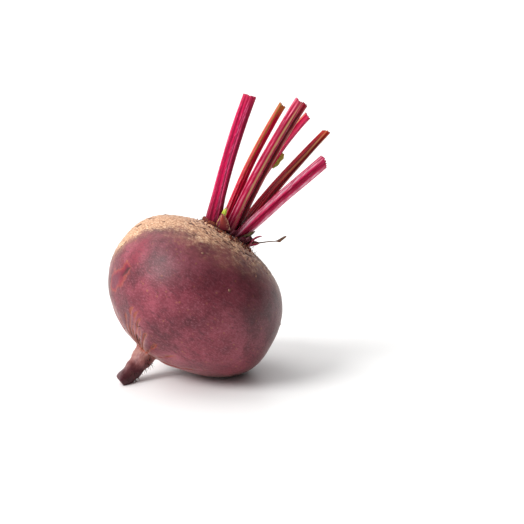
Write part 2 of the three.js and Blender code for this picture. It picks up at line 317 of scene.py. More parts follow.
def cork_edge(angle):
    """Height at which the dry cork cap of the shoulder begins: highest on the right, and hanging
    far down in a tongue on the left."""
    tongue = np.maximum(np.cos(angle - math.radians(165)), 0) ** 12
    return 53.5 + 5.5 * np.cos(angle + math.radians(50)) - 24 * tongue


# Creases that run together into the neck: angle in degrees, how far up they reach, depth.
CREASES = [(-152, 16, 0.5), (-140, 13, 0.6), (-127, 12, 0.35), (-112, 8, 0.4), (-90, 9, 0.35),
           (-62, 12, 0.4), (-25, 9, 0.5), (12, 12, 0.45), (38, 18, 0.7), (66, 9, 0.4),
           (98, 12, 0.5), (131, 10, 0.4), (163, 13, 0.5), (-172, 9, 0.45), (-158, 12, 0.35),
           (-146, 16, 0.4), (-134, 9, 0.35), (178, 11, 0.4)]


def crease_marks(height, angle, radius, wander):
    """How deep the skin lies in the creases, in millimetres."""
    depth = np.zeros(np.broadcast(height, angle).shape)
    for at, reach, deep in CREASES:
        off = np.angle(np.exp(1j * (angle - math.radians(at) - 0.012 * height))) * radius
        off = off + 1.1 * wander * smooth(height, 0, 10)
        ends = smooth(height, -2, 3) * (1 - smooth(height, reach * 0.4, reach))
        wide = 0.45 + 0.03 * np.maximum(height, 0)
        depth = np.maximum(depth, deep * ends * np.exp(-((off / wide) ** 2)))
    return depth


def streak(grown, start, end, width, wander, pinch=0.15):
    """1 on a wandering line between two points of the skin, falling to 0 at its width. Its ends are
    drawn out to this share of the width."""
    start, end = np.array(start, float), np.array(end, float)
    line = end - start
    share = np.clip(((grown - start) @ line) / (line @ line), 0, 1)
    off = np.linalg.norm(grown - start - share[..., None] * line, axis=-1)
    taper = pinch + (1 - pinch) * np.sin(math.pi * share)
    return np.exp(-((off + 0.5 * width * wander) / (width * taper)) ** 2)


def root_rings():
    outline, along = spline(root_outline(), ROOT_RINGS)
    radius, height, along = outline[:, :1], outline[:, 1:], along[:, None]
    angle = round_angles(ROOT_SIDES)
    return radius, height, along, angle, root_point(radius, height, angle)


radius, height, along, angle, base = root_rings()
NECK_PLACE = neck_place(base)

around = np.roll(base, -1, 1) - np.roll(base, 1, 1)
upward = np.gradient(base, axis=0)
outward = unit(np.cross(around, upward))
# Ring coordinates: round a root of 30 mm radius, and up along the skin four times as fast, so that
# what is drawn from them runs round the root.
rings_at = np.stack(np.broadcast_arrays(30 * np.cos(angle), 30 * np.sin(angle), 4.0 * along), -1)
broad = grain(base, 14, 1)
middle = grain(base, 5, 2)
small = grain(base, 1.9, 3)
ring_noise = grain(rings_at, 6.5, 5)
ring_fine = grain(rings_at, 3.2, 6)
# The cork cap sets in over 18 mm of height, with a rough edge.
cork = smooth(height + 2 * broad + 3 * middle + 3 * small,
              cork_edge(angle) - 13, cork_edge(angle) + 5)
# Fine cracks in the dry cap, coarser ones near the crown, and short dark dashes round the root.
near_crown = smooth(height, 52, 57) * (1 - smooth(height, CROWN_TOP - 0.6, CROWN_TOP + 0.4))
on_tail = 1 - smooth(height, -1, 3)
skin_cracks = cork * smooth(1 - 6 * np.abs(ring_noise), 0.4, 0.95) * (0.06 + 0.6 * near_crown)
crown_cracks = near_crown * smooth(1 - 5 * np.abs(grain(rings_at, 5.5, 7)), 0.3, 0.85)
crown_cracks = crown_cracks * smooth(grain(base, 8, 9), -0.45, 0.1)
dashes = smooth(grain(rings_at * np.array([1, 1, 1.6]), 2.6, 10), 0.34, 0.6) * (1 - on_tail)
creases = crease_marks(height, angle, radius, middle) * (0.3 + 1.0 * smooth(middle, -0.4, 0.3))
old_crack = streak(base, *OLD_CRACK, 0.6, middle)
scar = streak(base, *SCAR, 3.4, middle + 0.5 * small, pinch=0.8)
scar_split = streak(base, *SCAR_SPLIT, 1.1, small)
blush = streak(base, *BLUSH, 4.5, middle, pinch=0.9)
# Painted shade: darker skin on the shoulder, in front and on the right, where the light falls off.
shoulder = (smooth(height + 4 * broad, 24, 46)
            * smooth(np.cos(angle + math.radians(70)), -0.3, 0.7))
shoulder_rings = cork * 0.05 * np.sin(2.1 * (along + 1.2 * broad))
relief = (0.25 * broad + 0.07 * middle + 0.025 * small * (1 + cork) + shoulder_rings
          + 0.04 * cork * ring_fine - 0.14 * skin_cracks - 0.3 * crown_cracks - creases
          - 0.06 * dashes - 0.3 * old_crack - 0.15 * scar - 0.3 * scar_split
          + on_tail * (0.28 * middle + 0.16 * grain(rings_at, 4.0, 8) + 0.05 * small)
          + near_crown * 0.1 * small)
relief = relief * smooth(radius, 0.5, 6)
skin = base + outward * relief[..., None]
# Rings that close the cut end of the taproot and the middle of the crown.
shares = np.linspace(0, 1, 9)[1:-1]
cut_face = [skin[0].mean(0) + (skin[0] - skin[0].mean(0)) * s for s in shares]
crown_face = [skin[-1].mean(0) + (skin[-1] - skin[-1].mean(0)) * s for s in shares[::-1]]
rings = np.concatenate([cut_face, skin, crown_face])


def on_faces(field, cut=0.0, crown=0.0):
    """A mark on the skin, given one value on the cut end and one on the crown's middle."""
    field = np.broadcast_to(field, skin.shape[:2])
    low = np.full((len(shares), ROOT_SIDES), float(cut))
    high = np.full((len(shares), ROOT_SIDES), float(crown))
    return np.concatenate([low, field, high])


cut_rings = np.repeat(shares[:, None], ROOT_SIDES, 1)
cut_mark = on_faces(0.0, cut=1.0)
cut_mark[:len(shares)] = 0.35 + 0.65 * cut_rings
root = Piece(["cork", "shoulder", "crack", "crease", "scar", "blush", "dash", "tail", "cut", "crown"])
root.add_rings(
    rings,
    cork=on_faces(cork * (1 - on_tail)),
    shoulder=on_faces(shoulder),
    crack=on_faces(np.maximum.reduce([skin_cracks, crown_cracks, old_crack, scar_split])),
    crease=on_faces(np.clip(creases / 0.7, 0, 1)),
    scar=on_faces(scar),
    blush=on_faces(blush),
    dash=on_faces(dashes),
    tail=on_faces(on_tail, cut=1.0),
    cut=cut_mark,
    crown=on_faces(smooth(height, CROWN_TOP - 0.9, CROWN_TOP + 0.3), crown=1.0),
)


# Growths on the crown.

def leaning(x, y):
    return unit(np.array([math.tan(math.radians(x)), math.tan(math.radians(y)), 1.0]))


def growth_path(row, count, depth=FOOT_DEPTH):
    """Middle line of a growth, from this deep in the crown to its end, as evenly spaced points."""
    x, y = row["foot"]
    foot = np.array([x, y, CROWN_TOP + CROWN_HEIGHT + x * SHOULDER_TILT])
    bend = foot + leaning(row["lean"][0], row["side"]) * row["length"] / 2
    end = bend + leaning(row["lean"][1], row["side"]) * row["length"] / 2
    t = np.linspace(0, 1, 300)[:, None]
    curve = (1 - t) ** 2 * foot + 2 * t * (1 - t) * bend + t**2 * end
    if depth:
        curve = np.vstack([foot - leaning(row["lean"][0], row["side"]) * depth, curve])
    length = np.concatenate([[0], np.cumsum(np.linalg.norm(np.diff(curve, axis=0), axis=1))])
    even = np.linspace(0, length[-1], count)
    return np.stack([np.interp(even, length, curve[:, k]) for k in range(3)], 1)


def across(path):
    """The direction to the outside of the plant and the direction to the side, along a path."""
    tangent = unit(np.gradient(path, axis=0))
    out = unit(np.array([path[0][0] - CROWN_SHIFT, path[0][1], 0.0]))
    side = unit(np.cross(tangent, out))
    return tangent, np.cross(side, tangent), side


def swept(path, back, side, x, y):
    """Rings of a section along a path, from how far each point lies to the back and to the side."""
    return path[:, None] + back[:, None] * x[..., None] + side[:, None] * y[..., None]


def width_at(widths, along):
    foot, above, end = widths
    knee = 0.3
    low = foot + (above - foot) * smooth(along, 0, knee)
    return np.where(along < knee, low, above + (end - above) * (along - knee) / (1 - knee))


def cut_end(rim, tangent, width):
    """Rings that close a stalk's cut end in a shallow hollow, and how far out each one lies."""
    centre = rim.mean(0)
    shares = np.array([0.94, 0.86, 0.74, 0.6, 0.44, 0.26, 0.1])[:, None, None]
    return centre + (rim - centre) * shares - 0.11 * width * tangent * (1 - shares**2), shares[..., 0]


def colour_bands(bands, turn):
    """1 in the middle of each band round the stalk, falling to 0 past its spread."""
    field = np.zeros(turn.shape)
    for at, wide in bands:
        off = np.angle(np.exp(1j * (turn - math.radians(at))))
        field += np.exp(-((off / math.radians(wide)) ** 2))
    return np.minimum(field, 1)


def stalk_piece(row, seed):
    path = growth_path(row, STALK_RINGS)
    along = share_along(STALK_RINGS)
    tangent, back, side = across(path)
    bend = grain(path + 40 * seed, 22, seed)[:, None] * smooth(along, 0.1, 0.5)
    path = path + 0.7 * bend * side + 0.4 * bend * back
    angle = round_angles(STALK_SIDES)
    width = width_at(row["widths"], along)
    twist = angle + 0.25 * along + 0.07 * grain(path, 9, seed + 20)[:, None]
    wave = 0.5 + 0.5 * np.cos(row["ribs"] * twist + 1.1 * np.sin(2 * angle + seed))
    rib = wave ** 0.6
    channel = 0.2 * smooth(along, 0.05, 0.4) * np.exp(-((angle - math.pi) ** 2) / 0.3)
    stretched = np.stack(np.broadcast_arrays(2 * np.cos(angle), 2 * np.sin(angle),
                                             along * row["length"] / 14 + seed * 3), -1)
    uneven = grain(stretched, 0.9, seed)
    reach = width * (0.488 + 0.055 * (rib - 0.5) - channel + 0.02 * uneven)
    x = reach * 0.82 * np.cos(angle)
    y = reach * np.sin(angle)
    ragged = row["slant"] * y + 0.6 * grain(stretched, 0.5, seed + 30) + 0.25 * rib
    lift = ragged * smooth(along, 0.86, 1)
    rings = swept(path, back, side, x, y) + tangent[:, None] * lift[..., None]
    cap, cap_shares = cut_end(rings[-1], tangent[-1], width[-1, 0])
    whole = np.ones((STALK_RINGS, STALK_SIDES))
    tail = np.ones((len(cap), STALK_SIDES))
    middle_ring = STALK_RINGS // 2
    # Painted highlights and painted shade are set round the stalk from the side that faces the viewer.
    front = math.atan2(side[middle_ring] @ VIEWER, back[middle_ring] @ VIEWER)
    turn = angle - front + 0.5 * bend
    bands = {name: np.concatenate([colour_bands(row[name], turn), 0 * tail])
             for name in ("painted_highlight", "tan", "shade")}
    piece = Piece(["rib", "along", "painted_highlight", "tan", "shade", "cut"])
    piece.add_rings(
        np.concatenate([rings, cap]),
        rib=np.concatenate([rib * whole, 0.5 * tail]),
        along=np.concatenate([along * whole, tail]),
        cut=np.concatenate([0.25 * smooth(along, 0.985, 1) * whole, (0.4 + 0.6 * cap_shares) * tail]),
        **bands,
    )
    return piece


def shoot_piece(row, seed):
    path = growth_path(row, SHOOT_RINGS, depth=2.5)
    along = share_along(SHOOT_RINGS)
    back, side = across(path)[1:]
    angle = round_angles(SHOOT_SIDES)
    tip = np.sqrt(np.clip((1 - along) / 0.22, 0.02, 1))
    folded = 1 + 0.1 * np.cos(5 * angle + 3 * along + seed)
    round_at = np.stack(np.broadcast_arrays(np.cos(angle), np.sin(angle), along * 4 + seed), -1)
    uneven = 1 + 0.12 * grain(round_at, 0.8, seed)
    reach = width_at(row["widths"], along) / 2 * tip * folded * uneven
    x = reach * row["thick"] * np.cos(angle)
    y = reach * np.sin(angle)
    rings = swept(path, back, side, x, y)
    piece = Piece(["rib", "along"])
    piece.add_rings(rings, rib=0.5 + 0.5 * np.cos(5 * angle + 3 * along + seed), along=along)
    return piece


# Places across a blade, from one edge to the other, and how near to an edge each point of its ring
# lies, along its front and back along its rear.
BLADE_ACROSS = np.linspace(-1, 1, 15)[None, :]
BLADE_EDGE = np.abs(np.concatenate([BLADE_ACROSS, BLADE_ACROSS[:, ::-1]], 1))


def blade_rings(path, back, side, half, cup, thickness, wave):
    """Rings of a thin blade: half its width, its cup and the wave of its faces along the path."""
    t = BLADE_ACROSS
    face = -cup * t**2 + wave * (0.35 + t**2)
    edge = thickness * (1 - 0.75 * t**4)
    front = np.stack([face + edge / 2, half * t], -1)
    rear = np.stack([face - edge / 2, half * t], -1)[:, ::-1]
    flat = np.concatenate([front, rear], 1)
    return path[:, None] + back[:, None] * flat[..., :1] + side[:, None] * flat[..., 1:]


def scale_piece(row, seed):
    path = growth_path(row, SHOOT_RINGS, depth=1.2)
    along = share_along(SHOOT_RINGS)
    back, side = across(path)[1:]
    half = width_at(row["widths"], along) / 2 * np.sqrt(np.clip((1.04 - along) / 0.5, 0, 1))
    half = half * (1 + 0.12 * grain(path, 1.3, seed)[:, None])
    wave = 0.5 * np.sin(5 * along + seed) * along
    piece = Piece(["rib", "along"])
    rings = blade_rings(path, back, side, half, row["cup"], row["thickness"], wave)
    piece.add_rings(rings, rib=BLADE_EDGE, along=along)
    return piece


def rag_piece(row, carrier, seed):
    stalk = growth_path(carrier, 200, depth=0)
    last = len(stalk) - 1
    start, end = (stalk[int(row[key] * last)] + (row["reach"], 0, 0) for key in ("start", "end"))
    along = share_along(30)
    path = start + (end - start) * along
    back, side = across(path)[1:]
    half = width_at(row["widths"], along) / 2 * (1 + 0.25 * np.sin(9 * along + 1))
    wave = 0.45 * np.sin(7 * along + seed)
    rings = blade_rings(path, back, side, half, row["cup"], row["thickness"], wave)
    piece = Piece(["rib", "along"])
    piece.add_rings(rings, rib=BLADE_EDGE, along=along)
    return piece


def fibre_piece(row):
    count, sides = 120, 16
    path = growth_path(row, count, depth=1.5)
    along = share_along(count)
    back, side = across(path)[1:]
    path = path + (0.35 * np.sin(11 * along) * back + 0.3 * np.sin(17 * along + 1) * side) * along
    leaf = smooth(along, 0.72, 0.84) * np.sqrt(np.clip((1 - along) / 0.16, 0.02, 1))
    angle = round_angles(sides)
    thin = 0.2 + 0.2 * (1 - along) ** 2
    x = (thin + 0.12 * leaf) * np.cos(angle) + 0.5 * leaf * np.sin(angle) ** 2
    y = (thin + 0.95 * leaf) * np.sin(angle)
    rings = swept(path, back, side, x, y)
    piece = Piece(["rib", "along"])
    piece.add_rings(rings, rib=np.cos(angle) * 0.5 + 0.5, along=along)
    return piece


def skin_at(height_wanted, angle_wanted):
    """The skin's point and outward direction at a height and an angle in radians."""
    i = int(np.argmin(np.abs(height[:, 0] - height_wanted)))
    j = int(round((angle_wanted % (2 * math.pi)) / (2 * math.pi) * ROOT_SIDES)) % ROOT_SIDES
    return skin[i, j], outward[i, j], unit(upward[i, j])


def add_hair(piece, start, direction, length, thick, curl, rng, mark=0.5):
    """A thin tapering hair that droops and curls."""
    count, sides = 12, 6
    along = share_along(count)
    turn = unit(np.cross(direction, rng.normal(size=3)))
    other = np.cross(turn, direction)
    path = (start + direction * length * (along - 0.08)
            + turn * curl * length * along**2 + other * 0.25 * curl * length * np.sin(5 * along))
    angle = round_angles(sides)
    reach = thick * (1 - 0.75 * along)
    rings = (path[:, None] + turn * (reach * np.cos(angle))[..., None]
             + other * (reach * np.sin(angle))[..., None])
    piece.add_rings(rings, along=along, rib=mark)


def rootlets():
    """Fine side roots, broken off short, on the taproot and in the folds of the neck."""
    rng = np.random.default_rng(5)
    piece = Piece(["rib", "along"])
    on_taproot, on_neck = 80, 8
    for k in range(on_taproot + on_neck):
        low = k < on_taproot
        at = rng.uniform(-14, -1) if low else rng.uniform(0, 12)
        round_at = rng.normal(0.1, 1.1) if low else rng.choice([-2.5, 0.65]) + rng.normal(0, 0.25)
        point, out, up = skin_at(at, round_at)
        direction = unit(out + 0.54 * rng.normal(size=3) - up * rng.uniform(0, 0.8))
        add_hair(piece, point, direction, rng.uniform(0.8, 2.6 if low else 2.2),
                 rng.uniform(0.07, 0.2), rng.uniform(-0.6, 0.6), rng)
    return piece


def crown_fringe():
    """Dried bases of old leaves in a thin, torn rim round the crown, with a few loose fibres."""
    rng = np.random.default_rng(11)
    piece = Piece(["rib", "along"])
    blades, fibres = 130, 22
    for k in range(blades):
        at = 2 * math.pi * (k + rng.uniform(-0.6, 0.6)) / blades
        point, out, up = skin_at(CROWN_TOP - rng.uniform(0.2, 1.9), at)
        point = point - out * 0.3
        across_way = unit(np.cross(up, out))
        long, wide = rng.uniform(0.8, 2.3), rng.uniform(1.0, 3.2)
        count = 9
        along = share_along(count)
        lift = unit(up + out * rng.uniform(0.1, 0.7))
        path = point + lift * long * along + out * rng.uniform(-0.2, 0.4) * along**2
        back = np.repeat(np.cross(across_way, lift)[None], count, 0)
        side = np.repeat(across_way[None], count, 0)
        torn = 1 + 0.22 * rng.normal(size=(count, 1)) * along
        half = wide / 2 * np.clip(1.05 - along**1.5, 0.05, 1) ** 0.6 * torn
        rings = blade_rings(path, back, side, half, rng.uniform(0.1, 0.5), 0.24,
                            0.22 * np.sin(4 * along + k))
        piece.add_rings(rings, rib=np.maximum(BLADE_EDGE, along), along=along)
    for _ in range(fibres):
        at = rng.uniform(0, 2 * math.pi)
        point, out, up = skin_at(CROWN_TOP - rng.uniform(0.2, 1.6), at)
        add_hair(piece, point, unit(up * rng.uniform(-0.4, 1) + out * rng.uniform(0.2, 1.0)),
                 rng.uniform(1.5, 3.6), rng.uniform(0.08, 0.17), rng.uniform(-0.9, 0.9), rng, mark=0.3)
    return piece


def crown_stubs():
    """Short stubs of old stalks and young leaves between the feet of the stalks."""
    rng = np.random.default_rng(23)
    piece = Piece(["rib", "along"])
    stubs, count, sides, ribs = 46, 14, 18, 6
    # They fan out from a point this far below the crown.
    fan = 20
    for k in range(stubs):
        at, off = rng.uniform(0, 2 * math.pi), CROWN_RADIUS * math.sqrt(rng.uniform(0.02, 0.8))
        foot = (CROWN_SHIFT + off * math.cos(at), off * math.sin(at))
        lean = math.degrees(math.atan2(off * math.cos(at), fan))
        row = dict(foot=foot, lean=(lean, lean), side=math.degrees(math.atan2(off * math.sin(at), fan)),
                   length=rng.uniform(0.8, 3.2))
        path = growth_path(row, count, depth=2)
        along = share_along(count)
        tangent, back, side = across(path)
        angle = round_angles(sides)
        reach = rng.uniform(0.5, 1.3) * (1.3 - 0.5 * along) * (1 + 0.1 * np.cos(ribs * angle + k))
        x, y = 0.7 * reach * np.cos(angle), reach * np.sin(angle)
        lift = rng.normal() * 0.4 * y * smooth(along, 0.6, 1)
        rings = swept(path, back, side, x, y) + tangent[:, None] * lift[..., None]
        piece.add_rings(rings, rib=0.5 + 0.5 * np.cos(ribs * angle + k), along=along)
    return piece


def skin_flakes():
    """Small flakes of dry skin that lift off the shoulder, each at a height and an angle in degrees.
    Two stand up from its outline on the left."""
    rng = np.random.default_rng(3)
    piece = Piece(["rib", "along"])
    upright = [(47.6, 171), (41.1, 173)]
    lying = [(50, -172), (56.5, -95), (56, -70), (55, -120)]
    strewn = [(rng.uniform(40, 57), rng.uniform(-180, 180)) for _ in range(10)]
    for number, (at, turn) in enumerate(upright + lying + strewn):
        standing = number < len(upright)
        point, out, up = skin_at(at, math.radians(turn))
        spin = 0.2 if standing else rng.uniform(0, math.pi)
        across_way = np.cross(up, out)
        way = unit(up * math.cos(spin) + across_way * math.sin(spin))
        beside = unit(np.cross(way, out))
        count = 9
        along = share_along(count)
        long = 2.8 if standing else rng.uniform(1.0, 2.4)
        wide = rng.uniform(0.5, 1.1)
        lift = 0.7 if standing else rng.uniform(0.1, 0.5)
        path = point + way * long * (0.5 - along) + out * (0.05 + lift * along**2)
        back = np.repeat(out[None], count, 0)
        side = np.repeat(beside[None], count, 0)
        half = wide / 2 * np.sin(math.pi * np.clip(along, 0.05, 0.95)) ** 0.6
        rings = blade_rings(path, back, side, half, 0.12, 0.12, 0.1 * np.sin(5 * along))
        piece.add_rings(rings, rib=0.5, along=along)
    return piece


# Materials.

def linear(code):
    """An sRGB hex colour as linear red, green, blue and alpha."""
    channels = [int(code[i:i + 2], 16) / 255 for i in (0, 2, 4)]
    return [c / 12.92 if c <= 0.04045 else ((c + 0.055) / 1.055) ** 2.4 for c in channels] + [1.0]


def node(tree, kind, inputs=None, stops=None, out=0, **settings):
    """Adds a node and gives back one of its outputs. Inputs are values, hex colours or sockets to
    link, and stops are a ramp's places with a colour or a grey level each."""
    made = tree.nodes.new("ShaderNode" + kind)
    for name, value in settings.items():
        setattr(made, name, value)
    for key, value in (inputs or {}).items():
        if isinstance(value, bpy.types.NodeSocket):
            tree.links.new(value, made.inputs[key])
        else:
            made.inputs[key].default_value = linear(value) if isinstance(value, str) else value
    if stops:
        ramp = made.color_ramp.elements
        while len(ramp) < len(stops):
            ramp.new(1)
        for element, (place, colour) in zip(ramp, stops):
            element.position = place
            element.color = linear(colour) if isinstance(colour, str) else (colour,) * 3 + (1,)
    return made.outputs[out]


def new_finish(name, **shader_values):
    material = bpy.data.materials.new(name)
    material.use_nodes = True
    tree = material.node_tree
    shader = tree.nodes["Principled BSDF"]
    for key, value in shader_values.items():
        shader.inputs[key.replace("_", " ")].default_value = value
    return material, tree, shader


def beet_skin():
    """Periderm of a beetroot: a dull, thin cork layer over purple flesh, drier and paler on the
    shoulder, waxy lower down, with a faint sheen at the edges."""
    material, tree, shader = new_finish("beet_periderm", IOR=1.45, Specular_IOR_Level=0.35,
                                        Sheen_Weight=0.42, Sheen_Roughness=0.25,
                                        Sheen_Tint=(1.0, 0.8, 0.7, 1.0))
    marks = ("cork", "shoulder", "crack", "crease", "scar", "blush", "dash", "tail", "cut", "crown")
    mark = {name: node(tree, "Attribute", out="Fac", attribute_name=name) for name in marks}
    grown = node(tree, "Attribute", out="Vector", attribute_name="grown")
    level = node(tree, "SeparateXYZ", {0: grown}, out="Z")
    # Lump sizes in millimetres: colour clouds 26, patches 8, mottle 1.1 but half that up the root,
    # since it is drawn out round the root, and pores 0.4.
    ringed = node(tree, "Mapping", {"Vector": grown, "Scale": (1, 1, 2)})
    cloud = node(tree, "TexNoise", {"Vector": grown, "Scale": 1 / 26, "Detail": 3})
    patch = node(tree, "TexNoise", {"Vector": grown, "Scale": 1 / 8, "Detail": 6, "Roughness": 0.6})
    mottle = node(tree, "TexNoise", {"Vector": ringed, "Scale": 1 / 1.1, "Detail": 4})
    pore = node(tree, "TexNoise", {"Vector": grown, "Scale": 1 / 0.4, "Detail": 3})
    rough_edge = node(tree, "Math", {0: mottle, 1: pore}, operation="ADD")

    purple = node(tree, "ValToRGB", {0: cloud}, stops=[
        (0.38, "4c1721"), (0.5, "722a39"), (0.62, "94404f")])
    wine = node(tree, "ValToRGB", {0: patch}, stops=[
        (0.36, "45161e"), (0.5, "742b36"), (0.64, "9a4a58")])
    dust = node(tree, "MapRange", {"Value": rough_edge, "From Min": 0.98, "From Max": 1.35,
                                   "To Max": 0.5})
    dark = node(tree, "ValToRGB", {0: mottle}, stops=[(0.26, 0.5), (0.46, 0.0)])
    flushed = node(tree, "Math", {0: mark["blush"], 1: mottle}, operation="MULTIPLY")
    dashed = node(tree, "Math", {0: mark["dash"], 1: 0.55}, operation="MULTIPLY")
    # Rusty specks under 1 mm across, 2.6 mm apart, in loose groups.
    speck = node(tree, "TexVoronoi", {"Vector": grown, "Scale": 1 / 2.6}, out="Distance")
    speck = node(tree, "ValToRGB", {0: speck}, stops=[(0.1, 0.7), (0.24, 0.0)])
    grouped = node(tree, "ValToRGB", {0: patch}, stops=[(0.46, 0.0), (0.58, 0.9)])
    speck = node(tree, "Math", {0: speck, 1: grouped}, operation="MULTIPLY")
    # The dry cork cap thins out downwards into specks, over skin that it turns brown. Below it, in
    # front and on the right, the skin is darker with painted shade.
    shoulder_shade_share = node(tree, "Math", {0: mark["shoulder"], 1: 0.5}, operation="MULTIPLY")
    browned = node(tree, "ValToRGB", {0: mark["cork"]}, stops=[(0.02, 0.0), (0.5, 0.65)])
    brown = node(tree, "ValToRGB", {0: patch}, stops=[(0.38, "4a2122"), (0.6, "7a443c")])
    capped = node(tree, "Math", {0: rough_edge, 1: 0.35, 2: mark["cork"]}, operation="MULTIPLY_ADD")
    capped = node(tree, "Math", {0: capped, 1: 1.35}, operation="DIVIDE")
    capped = node(tree, "ValToRGB", {0: capped}, stops=[
        (0.5, 0.0), (0.7, 0.14), (0.84, 0.45), (0.96, 0.92)])
    tan = node(tree, "ValToRGB", {0: mottle}, stops=[
        (0.26, "8e624c"), (0.42, "ba8b6c"), (0.56, "d9ae8b"), (0.74, "eed4b6")])
    grit = node(tree, "ValToRGB", {0: pore}, stops=[(0.32, 0.6), (0.42, 0.0)])
    grit = node(tree, "Math", {0: grit, 1: capped}, operation="MULTIPLY")
    # The taproot, paler at the neck and dark purple at its cut end.
    bark = node(tree, "ValToRGB", {0: patch}, stops=[
        (0.36, "5c3034"), (0.5, "8c5654"), (0.66, "aa7c70")])
    tip = node(tree, "MapRange", {"Value": level, "From Min": -5.0, "From Max": -12.0,
                                  "To Max": 0.85})
    # A healed scar, red-brown, rusty at its edge.
    torn = node(tree, "MapRange", {"Value": patch, "From Min": 0.3, "From Max": 0.7,
                                   "To Min": 0.2, "To Max": 1.5})
    torn = node(tree, "Math", {0: mark["scar"], 1: torn}, operation="MULTIPLY")
    healed = node(tree, "ValToRGB", {0: torn}, stops=[(0.1, 0.0), (0.4, 0.85), (0.9, 0.92)])
    scab = node(tree, "ValToRGB", {0: torn}, stops=[
        (0.2, "a84e30"), (0.42, "882430"), (0.8, "681430")])
    # Creases and cracks: rusty edges, painted shade near black in the bottoms of the creases, and dark
    # cracks.
    rust = node(tree, "ValToRGB", {0: mark["crease"]}, stops=[
        (0.06, 0.0), (0.25, 0.75), (0.6, 0.75), (1.0, 0.3)])
    deep = node(tree, "ValToRGB", {0: mark["crease"]}, stops=[(0.3, 0.0), (0.7, 0.9)])
    split = node(tree, "ValToRGB", {0: mark["crack"]}, stops=[(0.15, 0.0), (0.7, 0.85)])
    # The cut end of the taproot shows wine-red flesh with paler rings.
    sliced = node(tree, "ValToRGB", {0: mark["cut"]}, stops=[(0.05, 0.0), (0.3, 1.0)])
    flesh = node(tree, "ValToRGB", {0: mark["cut"]}, stops=[
        (0.35, "7a2444"), (0.5, "5a1830"), (0.66, "8a3050"), (0.8, "54162c"), (1.0, "6a2038")])

    layers = [
        (0.5, wine), (dust, "a86874"), (dark, "3f1a21"), (flushed, "8c1c36"), (dashed, "42202a"),
        (speck, "a06844"), (shoulder_shade_share, "35141a"), (browned, brown), (capped, tan), (grit, "6c4a3c"),
        (mark["tail"], bark), (tip, "401c28"), (mark["crown"], "48121f"),
        (healed, scab), (rust, "964628"), (deep, "2c1015"), (split, "481e20"), (sliced, flesh)]
    colour = purple
    for share, over in layers:
        colour = node(tree, "Mix", {0: share, 6: colour, 7: over}, out=2, data_type="RGBA")
    rough = node(tree, "MapRange", {"Value": capped, "To Min": 0.42, "To Max": 0.72})
    bump = node(tree, "Bump", {"Strength": 0.4, "Distance": 0.15 * MM, "Height": rough_edge})
    tree.links.new(colour, shader.inputs["Base Color"])
    tree.links.new(rough, shader.inputs["Roughness"])
    tree.links.new(bump, shader.inputs["Normal"])
    return material


def stalk_skin(name, groove_and_shade, rib, highlight, stripe, stripe_from, tip):
    """Fresh leaf stalk: smooth epidermis drawn tight over fibres, its shine in long narrow lines
    painted on as pink-white highlights. Grooves are deep wine deepened with painted shade, ribs crimson
    to pink with painted highlights on their crests, painted shade runs down one side and at the foot,
    and the cut end shows pale pith."""
    material, tree, shader = new_finish(name, IOR=1.42, Roughness=0.35, Specular_IOR_Level=0.12,
                                        Coat_Weight=0.05, Coat_Roughness=0.12)
    mark = {key: node(tree, "Attribute", out="Fac", attribute_name=key)
            for key in ("rib", "along", "painted_highlight", "tan", "shade", "cut")}
    grown = node(tree, "Attribute", out="Vector", attribute_name="grown")
    # Fibres about 0.6 mm apart that run the length of the stalk, and blotches 8 mm long.
    drawn = node(tree, "Mapping", {"Vector": grown, "Scale": (1 / 0.6, 1 / 0.6, 1 / 20)})
    fibre = node(tree, "TexNoise", {"Vector": drawn, "Scale": 1.0, "Detail": 4})
    blotch = node(tree, "TexNoise", {"Vector": grown, "Scale": 1 / 8, "Detail": 3})
    ridge = node(tree, "Math", {0: mark["rib"], 1: fibre}, operation="ADD")
    ridge = node(tree, "Math", {0: ridge, 1: 2.0}, operation="DIVIDE")
    # Dark grooves and pink-white crests along the ribs: the stalk's own wine-red deepened with painted
    # shade in the grooves, and painted highlights on the crests.
    flesh = node(tree, "ValToRGB", {0: ridge}, stops=[
        (0.22, groove_and_shade), (0.42, rib), (0.74, rib), (0.88, highlight)])
    # Painted highlights: pale streaks, broken along the fibres, in the highlight bands.
    broken = node(tree, "ValToRGB", {0: fibre}, stops=[(0.4, 0.3), (0.6, 1.0)])
    gleam = node(tree, "Math", {0: mark["painted_highlight"], 1: broken}, operation="MULTIPLY")
    gleam = node(tree, "Math", {0: gleam, 1: 0.85}, operation="MULTIPLY")
    # Painted shade down one side of the stalk, in the groove colour.
    painted_side_shade = node(tree, "Math", {0: mark["shade"], 1: 0.85}, operation="MULTIPLY")
    mottled = node(tree, "ValToRGB", {0: blotch}, stops=[(0.5, 0.0), (0.72, 0.35)])
    risen = node(tree, "MapRange", {"Value": mark["along"], "From Min": stripe_from,
                                    "From Max": stripe_from + 0.3})
    banded = node(tree, "Math", {0: mark["tan"], 1: risen}, operation="MULTIPLY")
    # Painted shade at the foot, where the stalk goes into the crown.
    shaded = node(tree, "ValToRGB", {0: mark["along"]}, stops=[(0.04, 0.95), (0.14, 0.5), (0.32, 0.0)])
    old = node(tree, "ValToRGB", {0: mark["along"]}, stops=[(0.9, 0.0), (1.0, 0.7)])
    pith = node(tree, "ValToRGB", {0: mark["cut"]}, stops=[
        (0.3, 0.0), (0.42, 0.8), (0.85, 0.6), (1.0, 0.1)])

    layers = [
        (gleam, highlight), (painted_side_shade, groove_and_shade), (mottled, groove_and_shade), (banded, stripe), (shaded, "3c0614"),
        (old, tip), (pith, "c87888")]
    colour = flesh
    for share, over in layers:
        colour = node(tree, "Mix", {0: share, 6: colour, 7: over}, out=2, data_type="RGBA")
    bump = node(tree, "Bump", {"Strength": 0.4, "Distance": 0.12 * MM, "Height": fibre})
    tree.links.new(colour, shader.inputs["Base Color"])
    tree.links.new(bump, shader.inputs["Normal"])
    return material


